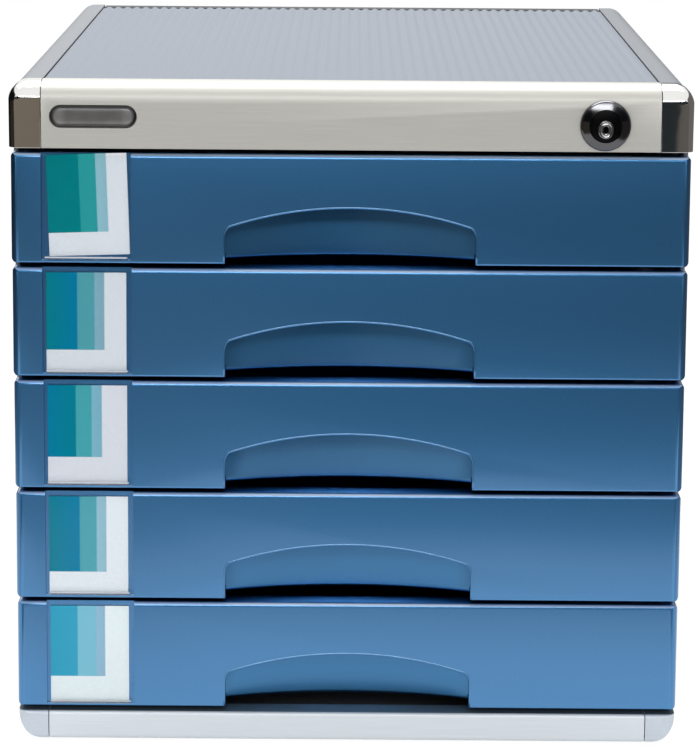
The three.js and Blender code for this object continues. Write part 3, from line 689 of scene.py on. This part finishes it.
def slot_materials():
    """The materials by name: one for each slot but the cards', and those of some single pieces."""
    return {
        "silver_panels": anodised(
            "silver_panels", linear(126, 129, 133), metallic=0.3, roughness=0.45),
        "top_sheet": ribbed_sheet("top_sheet", linear(124, 129, 137)),
        "satin_rail": brushed("satin_rail", linear(176, 175, 169), metallic=0.35, roughness=0.42),
        # The base rail and its caps get painted shade on their flat tops, behind the front edge
        "pale_rail": brushed(
            "pale_rail", linear(207, 213, 218), metallic=0.2, roughness=0.4, seat=True),
        "pale_cap": brushed(
            "pale_cap", linear(191, 199, 208), metallic=0.2, roughness=0.4, seat=True),
        "chrome_trim": polished("chrome_trim", linear(238, 237, 234), roughness=0.07),
        "lock_chrome": polished("lock_chrome", linear(94, 94, 97), roughness=0.1),
        "keyway_trim": polished("keyway_trim", linear(178, 178, 180), roughness=0.16),
        "badge": badge_metal("badge", linear(134, 133, 133)),
        "lock_face": gloss_black("lock_face", linear(2, 2, 3), linear(9, 9, 10)),
        "inner_steel": zinc("inner_steel", linear(170, 172, 176)),
        "grey_plastic": moulded(
            "grey_plastic", linear(140, 143, 148), roughness=0.55, grain_scale=1600),
        "dark_plastic": moulded(
            "dark_plastic", linear(42, 44, 47), roughness=0.55, grain_scale=1600),
        "foot_rubber": moulded("foot_rubber", linear(34, 34, 36), roughness=0.8, grain_scale=1200),
        # The fronts get a painted highlight on their top edges
        "blue_plastic": metallic_blue(
            "blue_plastic", linear(72, 137, 192), coat=1.0, edge_highlight=0.85),
        "blue_tray": metallic_blue("blue_tray", linear(68, 132, 184), coat=0.5, lean=0.04),
        "label_window": clear_cover("label_window"),
        "window_lip": moulded(
            "window_lip", linear(176, 180, 188), roughness=0.3, grain_scale=1600),
    }


# Meshes
def link(obj):
    bpy.context.scene.collection.objects.link(obj)
    return obj


def mesh_piece(name, points, faces, material):
    """A mesh piece from points in millimetres."""
    data = bpy.data.meshes.new(name)
    data.from_pydata([Vector(point) * MM for point in points], [], faces)
    shape = bmesh.new()
    shape.from_mesh(data)
    bmesh.ops.remove_doubles(shape, verts=shape.verts, dist=SAME_POINT * MM)
    bmesh.ops.recalc_face_normals(shape, faces=shape.faces)
    shape.to_mesh(data)
    shape.free()
    for polygon in data.polygons:
        polygon.use_smooth = True
    data.materials.append(material)
    return link(bpy.data.objects.new(name, data))


def loft(name, rings, material, closed=False):
    """A body through rings of as many points each: with flat ends, or closed on itself."""
    count = len(rings[0])
    points = [point for ring in rings for point in ring]
    faces = []
    if not closed:
        faces += [list(range(count)), [len(points) - 1 - step for step in range(count)]]
    for ring in range(len(rings) if closed else len(rings) - 1):
        base = ring * count
        next_base = (ring + 1) % len(rings) * count
        for step in range(count):
            after = (step + 1) % count
            faces.append([base + step, base + after, next_base + after, next_base + step])
    return mesh_piece(name, points, faces, material)


def lathe(name, profile, material):
    """A closed profile of (radius, y) turned round the lock's axis."""
    rings = []
    for step in range(LOCK_STEPS):
        angle = 2 * math.pi * step / LOCK_STEPS
        rings.append([
            (LOCK_X + radius * math.cos(angle), FRONT_Y + y, LOCK_Z + radius * math.sin(angle))
            for radius, y in profile])
    return loft(name, rings, material, closed=True)


def crease(obj, width, angle=34, segments=2):
    """Small round edges by modifier, which leaves the mesh as it is."""
    edge = obj.modifiers.new("round", "BEVEL")
    edge.width = width * MM
    edge.segments = segments
    edge.limit_method = "ANGLE"
    edge.angle_limit = math.radians(angle)
    edge.harden_normals = True


def soften(node, width):
    """Round a CAD node's edges: join its facets first, so that flat faces stay flat."""
    bpy.context.view_layer.objects.active = node
    if node.data.has_custom_normals:
        bpy.ops.mesh.customdata_custom_splitnormals_clear()
    for polygon in node.data.polygons:
        polygon.use_smooth = True
    weld = node.modifiers.new("weld", "WELD")
    weld.merge_threshold = WELD_REACH * MM
    flat = node.modifiers.new("flat", "DECIMATE")
    flat.decimate_type = "DISSOLVE"
    flat.angle_limit = math.radians(FLAT_ANGLE)
    crease(node, width)


def arc(centre_a, centre_b, radius, start, end, steps):
    """Points of an arc, with angles in degrees."""
    points = []
    for step in range(steps + 1):
        angle = math.radians(start + (end - start) * step / steps)
        points.append((centre_a + radius * math.cos(angle), centre_b + radius * math.sin(angle)))
    return points


def bend(start, corner, end, steps):
    """Points of a quadratic curve between two points, drawn toward a corner."""
    points = []
    for step in range(steps + 1):
        share = step / steps
        weights = ((1 - share) ** 2, 2 * share * (1 - share), share ** 2)
        points.append(tuple(
            sum(weight * place for weight, place in zip(weights, places))
            for places in zip(start, corner, end)))
    return points


# Finer pieces
def top_sheet(material):
    """The ribs run shallow along the sheet and reach their full depth at its rear end."""
    steps = RIBS_PER_SIDE * RIB_STEPS
    left, right = SHEET_LOW.x, SHEET_HIGH.x
    low = SHEET_LOW.z
    back = SHEET_HIGH.y
    depths = (
        (SHEET_LOW.y, RIB_DRAWN_HEIGHT),
        (back - RIB_FADE, RIB_DRAWN_HEIGHT),
        (back - RIB_FADE / 2, RIB_HEIGHT),
        (back, RIB_HEIGHT),
    )
    rings = []
    for y, depth in depths:
        ring = [(left, y, low), (left, y, TOP_Z - depth)]
        for step in range(-steps, steps + 1):
            x = step * RIB_PITCH / RIB_STEPS
            drop = depth * (1 + math.cos(2 * math.pi * x / RIB_PITCH)) / 2
            ring.append((x, y, TOP_Z - drop))
        ring += [(right, y, TOP_Z - depth), (right, y, low)]
        rings.append(ring)
    sheet = loft("ribbed_top_sheet", rings, material)
    crease(sheet, width=0.12, angle=60, segments=1)
    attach(sheet, "carcass")
    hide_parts("top_panel")


def side_inset(depth):
    """How far a cap's outer edge is set in behind its face: a quarter of an ellipse."""
    share = max(1 - depth / CAP_SIDE_DEPTH, 0)
    return CAP_SIDE_WIDTH * (1 - math.sqrt(1 - share ** 2))


def corner_cap(name, side, node, material):
    """A cap at the rail's end, with the rail's bevel, a round corner and a round outer edge."""
    seam = CAP_LOW.x
    low = CAP_LOW.z
    face = (BEVEL_HEIGHT + CAP_FACE_INSET, 0)
    corner = (BEVEL_HEIGHT / 4, BEVEL_DEPTH / 4)
    bevel = bend((BEVEL_HEIGHT, 0), corner, (0, BEVEL_DEPTH), BEVEL_STEPS)
    rings = []
    for inset, depth in [face, *bevel, (0, CAP_DEPTH)]:
        edge = CAP_HIGH.x - side_inset(depth)
        high = TOP_Z - inset
        radius = CORNER_RADIUS - inset
        outline = [(seam, low), (edge, low)]
        outline += arc(edge - radius, high - radius, radius, 0, 90, CORNER_STEPS)
        outline.append((seam, high))
        rings.append([(side * x, FRONT_Y + depth, z) for x, z in outline])
    cap = loft(name, rings, material)
    crease(cap, width=0.3)
    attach(cap, "carcass")
    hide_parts(node)


def badge_plate(material):
    """A pill with a rolled edge, a groove inside it and a gently domed field."""
    # Each ring is set in from the edge and lies behind the rail's face
    rolled_edge = ((0, 1.2), (0, 0.6), (0.08, 0.36), (0.3, 0.22), (0.6, 0.26))
    groove = ((0.85, 0.45), (1.1, 0.58), (1.4, 0.5))
    field = ((1.8, 0.42), (2.5, 0.34), (3.3, 0.28), (4.1, 0.25), (4.7, 0.24))
    rings = []
    for inset, depth in rolled_edge + groove + field:
        radius = BADGE_RADIUS - inset
        outline = arc(BADGE_X + BADGE_REACH, BADGE_Z, radius, -90, 90, BADGE_STEPS)
        outline += arc(BADGE_X - BADGE_REACH, BADGE_Z, radius, 90, 270, BADGE_STEPS)
        rings.append([(x, FRONT_Y + depth, z) for x, z in outline])
    plate = loft("domed_badge", rings, material)
    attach(plate, "carcass")
    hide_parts("badge_plate")


def lock_bezel(material):
    """A ring that falls away from the bore, rolls over its edge and sits on a round barrel."""
    bore = 5.3
    barrel = 6.6
    inner = 7.3
    shoulder = 10.4
    outer = (LOCK_HIGH.x - LOCK_LOW.x) / 2
    front = LOCK_LOW.y - FRONT_Y
    seat = -1.3
    back = -0.3
    end = LOCK_HIGH.y - FRONT_Y
    first_slope = 14
    slope_gain = 4
    slope_steps = 12
    roll_start = 30
    roll_step = 6
    profile = [(bore, seat), (inner, seat), (inner, front)]
    y = front
    for step in range(slope_steps):
        slope = math.radians(first_slope + slope_gain * (step + 0.5) / slope_steps)
        y += math.tan(slope) * (shoulder - inner) / slope_steps
        profile.append((inner + (shoulder - inner) * (step + 1) / slope_steps, y))
    sine, cosine = math.sin(math.radians(roll_start)), math.cos(math.radians(roll_start))
    for angle in range(roll_start, 90 + 1, roll_step):
        turn = math.radians(angle)
        reach = (math.sin(turn) - sine) / (1 - sine)
        fall = 1 - math.cos(turn) / cosine
        profile.append((shoulder + (outer - shoulder) * reach, y + (back - y) * fall))
    profile += [(barrel, back), (barrel, end), (bore, end)]
    bezel = lathe("lock_bezel", profile, material)
    crease(bezel, width=0.05)
    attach(bezel, "carcass")
    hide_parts("lock_housing")


def keyway_oval(half_width, reach):
    """A slot-shaped outline round the keyway's axis."""
    upper = arc(LOCK_X, KEYWAY_Z + reach, half_width, 0, 180, KEYWAY_STEPS)
    lower = arc(LOCK_X, KEYWAY_Z - reach, half_width, 180, 360, KEYWAY_STEPS)
    return upper + lower


def lock_face(material):
    """The plug's round face with a chamfered keyway, on the plug's shank."""
    keyway_half = 1.1
    keyway_reach = 0.65
    keyway_floor = 2.4
    chamfer = 0.1
    face_radius = (PLUG_HIGH.x - PLUG_LOW.x) / 2
    rounding = ((6.7, 0), (7.05, 0.15), (face_radius, 0.5))
    face_back = 0.9
    shank_radius = 5
    shank_end = PLUG_HIGH.y - PLUG_LOW.y
    slot = keyway_oval(keyway_half, keyway_reach)
    rim = keyway_oval(keyway_half + chamfer, keyway_reach)
    angles = [math.atan2(z - KEYWAY_Z, x - LOCK_X) for x, z in slot]

    def circle(radius):
        return [(LOCK_X + radius * math.cos(a), LOCK_Z + radius * math.sin(a)) for a in angles]

    levels = [(slot, keyway_floor), (slot, chamfer), (rim, 0)]
    levels += [(circle(radius), depth) for radius, depth in rounding]
    levels += [(circle(face_radius), face_back), (circle(shank_radius), face_back)]
    levels.append((circle(shank_radius), shank_end))
    rings = [[(x, PLUG_LOW.y + depth, z) for x, z in outline] for outline, depth in levels]
    plug = loft("lock_plug_face", rings, material)
    crease(plug, width=0.08)
    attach(plug, "lock_plug")
    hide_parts("lock_plug")


def keyhole_ring(material):
    """A raised ring round the keyway, with a shallow groove between its two beads."""
    reach = 0.58
    # Each ring is set out from the keyway's axis and stands before the plug's face
    inner_bead = ((1.15, 0.0), (1.2, 0.28), (1.5, 0.38), (1.95, 0.3))
    groove = ((2.2, 0.18),)
    outer_bead = ((2.45, 0.28), (2.8, 0.38), (3.15, 0.3), (3.4, 0.0))
    rings = []
    for half_width, height in inner_bead + groove + outer_bead:
        rings.append([(x, PLUG_LOW.y - height, z) for x, z in keyway_oval(half_width, reach)])
    keyhole = loft("lock_keyhole_ring", rings, material, closed=True)
    crease(keyhole, width=0.08)
    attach(keyhole, "lock_plug")


def pull_outline():
    """The arch's edge, from the foot of its right side over the top to the left one."""
    rise = ARCH_HEIGHT - ARCH_SHOULDER
    radius = (ARCH_HALF ** 2 + rise ** 2) / (2 * rise)
    centre = ARCH_HEIGHT - radius
    inner_x = ARCH_HALF - ARCH_CORNER / 2
    inner_z = centre + math.sqrt(radius ** 2 - inner_x ** 2)
    low = (ARCH_HALF, ARCH_SHOULDER - ARCH_CORNER)
    corner = (ARCH_HALF, ARCH_SHOULDER - ARCH_CORNER / 4)
    right = [(ARCH_HALF, z) for z in RIM_FOOT_HEIGHTS]
    right += bend(low, corner, (inner_x, inner_z), ARCH_CORNER_STEPS)
    start = math.degrees(math.atan2(inner_z - centre, inner_x))
    right += arc(0, centre, radius, start, 90, ARCH_STEPS)[1:]
    return right + [(-x, z) for x, z in reversed(right[:-1])]


def pull_rim(number, bottom, material):
    """The rolled edge of a drawer's arch: a thin round bead half sunk in the front."""
    path = pull_outline()
    forward = Vector((0, -1, 0))
    rings = []
    for index, (x, z) in enumerate(path):
        before = path[max(index - 1, 0)]
        after = path[min(index + 1, len(path) - 1)]
        along = Vector((after[0] - before[0], 0, after[1] - before[1])).normalized()
        side = Vector((-along.z, 0, along.x))
        front = FRONT_Y + FRONT_SET_BACK + FRONT_LEAN * z / FRONT_HEIGHT
        edge = Vector((x, front + RIM_RADIUS * RIM_SUNK_SHARE, bottom + z))
        middle = edge - side * RIM_RADIUS * RIM_ASIDE_SHARE
        ring = []
        for step in range(RIM_SIDES):
            angle = 2 * math.pi * step / RIM_SIDES
            out = side * math.cos(angle) + forward * math.sin(angle)
            ring.append(tuple(middle + out * RIM_RADIUS))
        rings.append(ring)
    rim = loft(f"drawer_{number}_pull_rim", rings, material)
    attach(rim, f"drawer_{number}")


def window_lip(number, material):
    """The moulded lip along a label window's lower edge: a thin bead half sunk in the cover."""
    node = frame["nodes"][f"drawer_{number}_label_window"]
    points = [node.matrix_world @ vertex.co / MM for vertex in node.data.vertices]
    low = min(point.z for point in points)
    front = min(point.y for point in points if point.z < low + WINDOW_FOOT)
    left, right = min(point.x for point in points), max(point.x for point in points)
    full = LIP_END + LIP_TAPER
    places = (
        (left + LIP_END, LIP_TIP_SHARE),
        (left + full, 1),
        (right - full, 1),
        (right - LIP_END, LIP_TIP_SHARE),
    )
    rings = []
    for x, grow in places:
        section = arc(0, 0, LIP_RADIUS * grow, 0, 360, LIP_SIDES)[:-1]
        rings.append([(x, front + LIP_RADIUS * LIP_SUNK_SHARE + y, low + LIP_RISE + z)
                      for y, z in section])
    lip = loft(f"drawer_{number}_window_lip", rings, material)
    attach(lip, f"drawer_{number}")


# Stage
def glow(name, colour, strength):
    material = bpy.data.materials.new(name)
    nodes = StageNodes(material, "ShaderNodeOutputMaterial")
    nodes.feed(nodes.surface, nodes.light("ShaderNodeEmission", colour, strength))
    return material


def stage_sheet(name, corners, material):
    """A flat stage sheet through four corners in metres."""
    data = bpy.data.meshes.new(name)
    data.from_pydata(corners, [], [(0, 1, 2, 3)])
    data.materials.append(material)
    made = link(bpy.data.objects.new(name, data))
    return made


def flag(name, corners, colour, strength=1.0):
    """A card that only reflections see."""
    made = stage_sheet(name, corners, glow(name, colour, strength))
    made.visible_camera = False
    made.visible_diffuse = False
    made.visible_shadow = False
    made.visible_transmission = False


def upright(start, end, low, high):
    """Corners of an upright sheet over the line on the floor from start to end."""
    return [(*start, low), (*end, low), (*end, high), (*start, high)]


def sector(name, start, end, colour, near):
    """A slice of the floor's ring that only reflections see, between angles from straight ahead."""
    steps = max(1, round(abs(end - start) / RING_STEP))
    far = RING_REACH
    for step in range(steps):
        first, last = (math.radians(start + (end - start) * at / steps) for at in (step, step + 1))
        corners = []
        for reach, angle in ((far, first), (far, last), (near, last), (near, first)):
            x = reach * math.sin(angle)
            y = FRONT_Y * MM - reach * math.cos(angle)
            corners.append((x, y, RING_Z))
        flag(f"{name}_{step + 1}", corners, colour)


def add_floor():
    """A pale floor that shows white and keeps the object's shadow."""
    material = bpy.data.materials.new("floor")
    nodes = StageNodes(material, "ShaderNodeOutputMaterial")
    paper = nodes.node("ShaderNodeBsdfDiffuse")
    paper.inputs["Color"].default_value = PAPER
    white = nodes.light("ShaderNodeEmission", WHITE, FLOOR_STRENGTH)
    share = nodes.math("MULTIPLY", nodes.seen(), FLOOR_WHITE_SHARE)
    nodes.feed(nodes.surface, nodes.joined(share, paper.outputs[0], white))
    half = FLOOR_HALF
    corners = [(-half, -half, 0), (half, -half, 0), (half, half, 0), (-half, half, 0)]
    stage_sheet("floor", corners, material)


def add_world():
    """White where it is seen, and a plain soft light on the object."""
    world = bpy.data.worlds.new("world")
    bpy.context.scene.world = world
    nodes = StageNodes(world, "ShaderNodeOutputWorld")
    ambient = nodes.light("ShaderNodeBackground", AMBIENT, AMBIENT_STRENGTH)
    white = nodes.light("ShaderNodeBackground", WHITE)
    nodes.feed(nodes.surface, nodes.joined(nodes.seen(), ambient, white))


def add_lamp(name, place, target, width, height, power):
    data = bpy.data.lights.new(name, "AREA")
    data.shape = "RECTANGLE"
    data.size = width
    data.size_y = height
    data.energy = power
    lamp = link(bpy.data.objects.new(name, data))
    lamp.location = place
    aim = Vector(target) - Vector(place)
    lamp.rotation_euler = aim.to_track_quat("-Z", "Y").to_euler()
    return lamp


def add_lamps():
    add_lamp(
        "lamp_over", place=(-0.1, 0.3, 1.7), target=(0, 0, 0.2), width=1.6, height=1.2, power=42)
    front = add_lamp(
        "lamp_front", place=(0.2, -2.5, 0.9), target=(0, 0, 0.15), width=1.5, height=1.0, power=28)
    front.visible_glossy = False


def add_flags():
    """The dark and pale surroundings that the glossy surfaces reflect."""
    sector("flag_left_far", start=-176, end=-104, colour=BLACK, near=0.75)
    sector("flag_left_middle", start=-104, end=-54, colour=UMBER, near=0.75)
    sector("flag_left", start=-54, end=-2, colour=BROWN, near=0.75)
    sector("flag_front", start=-2, end=15.5, colour=DARK, near=0.68)
    sector("flag_right", start=15.5, end=60, colour=DIM, near=0.6)
    sector("flag_right_far", start=60, end=172, colour=GREY, near=0.6)
    wall = upright((-RING_REACH, -RING_REACH), (RING_REACH, -RING_REACH), WALL_FOOT, WALL_TOP)
    flag("flag_wall", wall, DARK)
    left, right = (-WINDOW_HALF, ROOM_FRONT), (WINDOW_HALF, ROOM_FRONT)
    flag("flag_window", upright(left, right, WINDOW_LOW, WINDOW_HIGH), WHITE, WINDOW_STRENGTH)
    back = upright((BACK_CARD_X, ROOM_BACK), (ROOM_HALF, ROOM_BACK), 0, ROOM_TOP)
    flag("flag_back_right", back, PALE)
    for side, x, colour in (("left", -ROOM_HALF, BLACK), ("right", ROOM_HALF, GREY)):
        flag(f"flag_wall_{side}", upright((x, ROOM_FRONT), (x, ROOM_BACK), 0, ROOM_TOP), colour)


def add_stage():
    bpy.context.scene.view_settings.view_transform = "Standard"
    add_world()
    add_floor()
    add_lamps()
    add_flags()


def dress_nodes(materials):
    """Give each CAD node its slot's material and small round edges."""
    slots = {part["node"]: part["material_slot"] for part in frame["record"]["subparts"]}
    for name, node in frame["nodes"].items():
        slot = slots[name]
        if slot == "label_card":
            material = card_paper(name, int(name.split("_")[1]) - 1)
        elif name.endswith("_tray"):
            material = materials["blue_tray"]
        elif name.startswith("base_corner_cap"):
            material = materials["pale_cap"]
        else:
            material = materials[slot]
        node.data.materials.clear()
        node.data.materials.append(material)
        soften(node, EDGE_ROUNDS.get(slot, EDGE_ROUND))


add_camera()
add_stage()
MATERIALS = slot_materials()
dress_nodes(MATERIALS)
top_sheet(MATERIALS["top_sheet"])
for word, side in (("left", -1), ("right", 1)):
    corner_cap(f"chrome_cap_{word}", side, f"top_corner_cap_{word}", MATERIALS["chrome_trim"])
for number, bottom in enumerate(DRAWER_BOTTOMS, 1):
    pull_rim(number, bottom, MATERIALS["blue_plastic"])
    window_lip(number, MATERIALS["window_lip"])
badge_plate(MATERIALS["badge"])
lock_bezel(MATERIALS["lock_chrome"])
lock_face(MATERIALS["lock_face"])
keyhole_ring(MATERIALS["keyway_trim"])
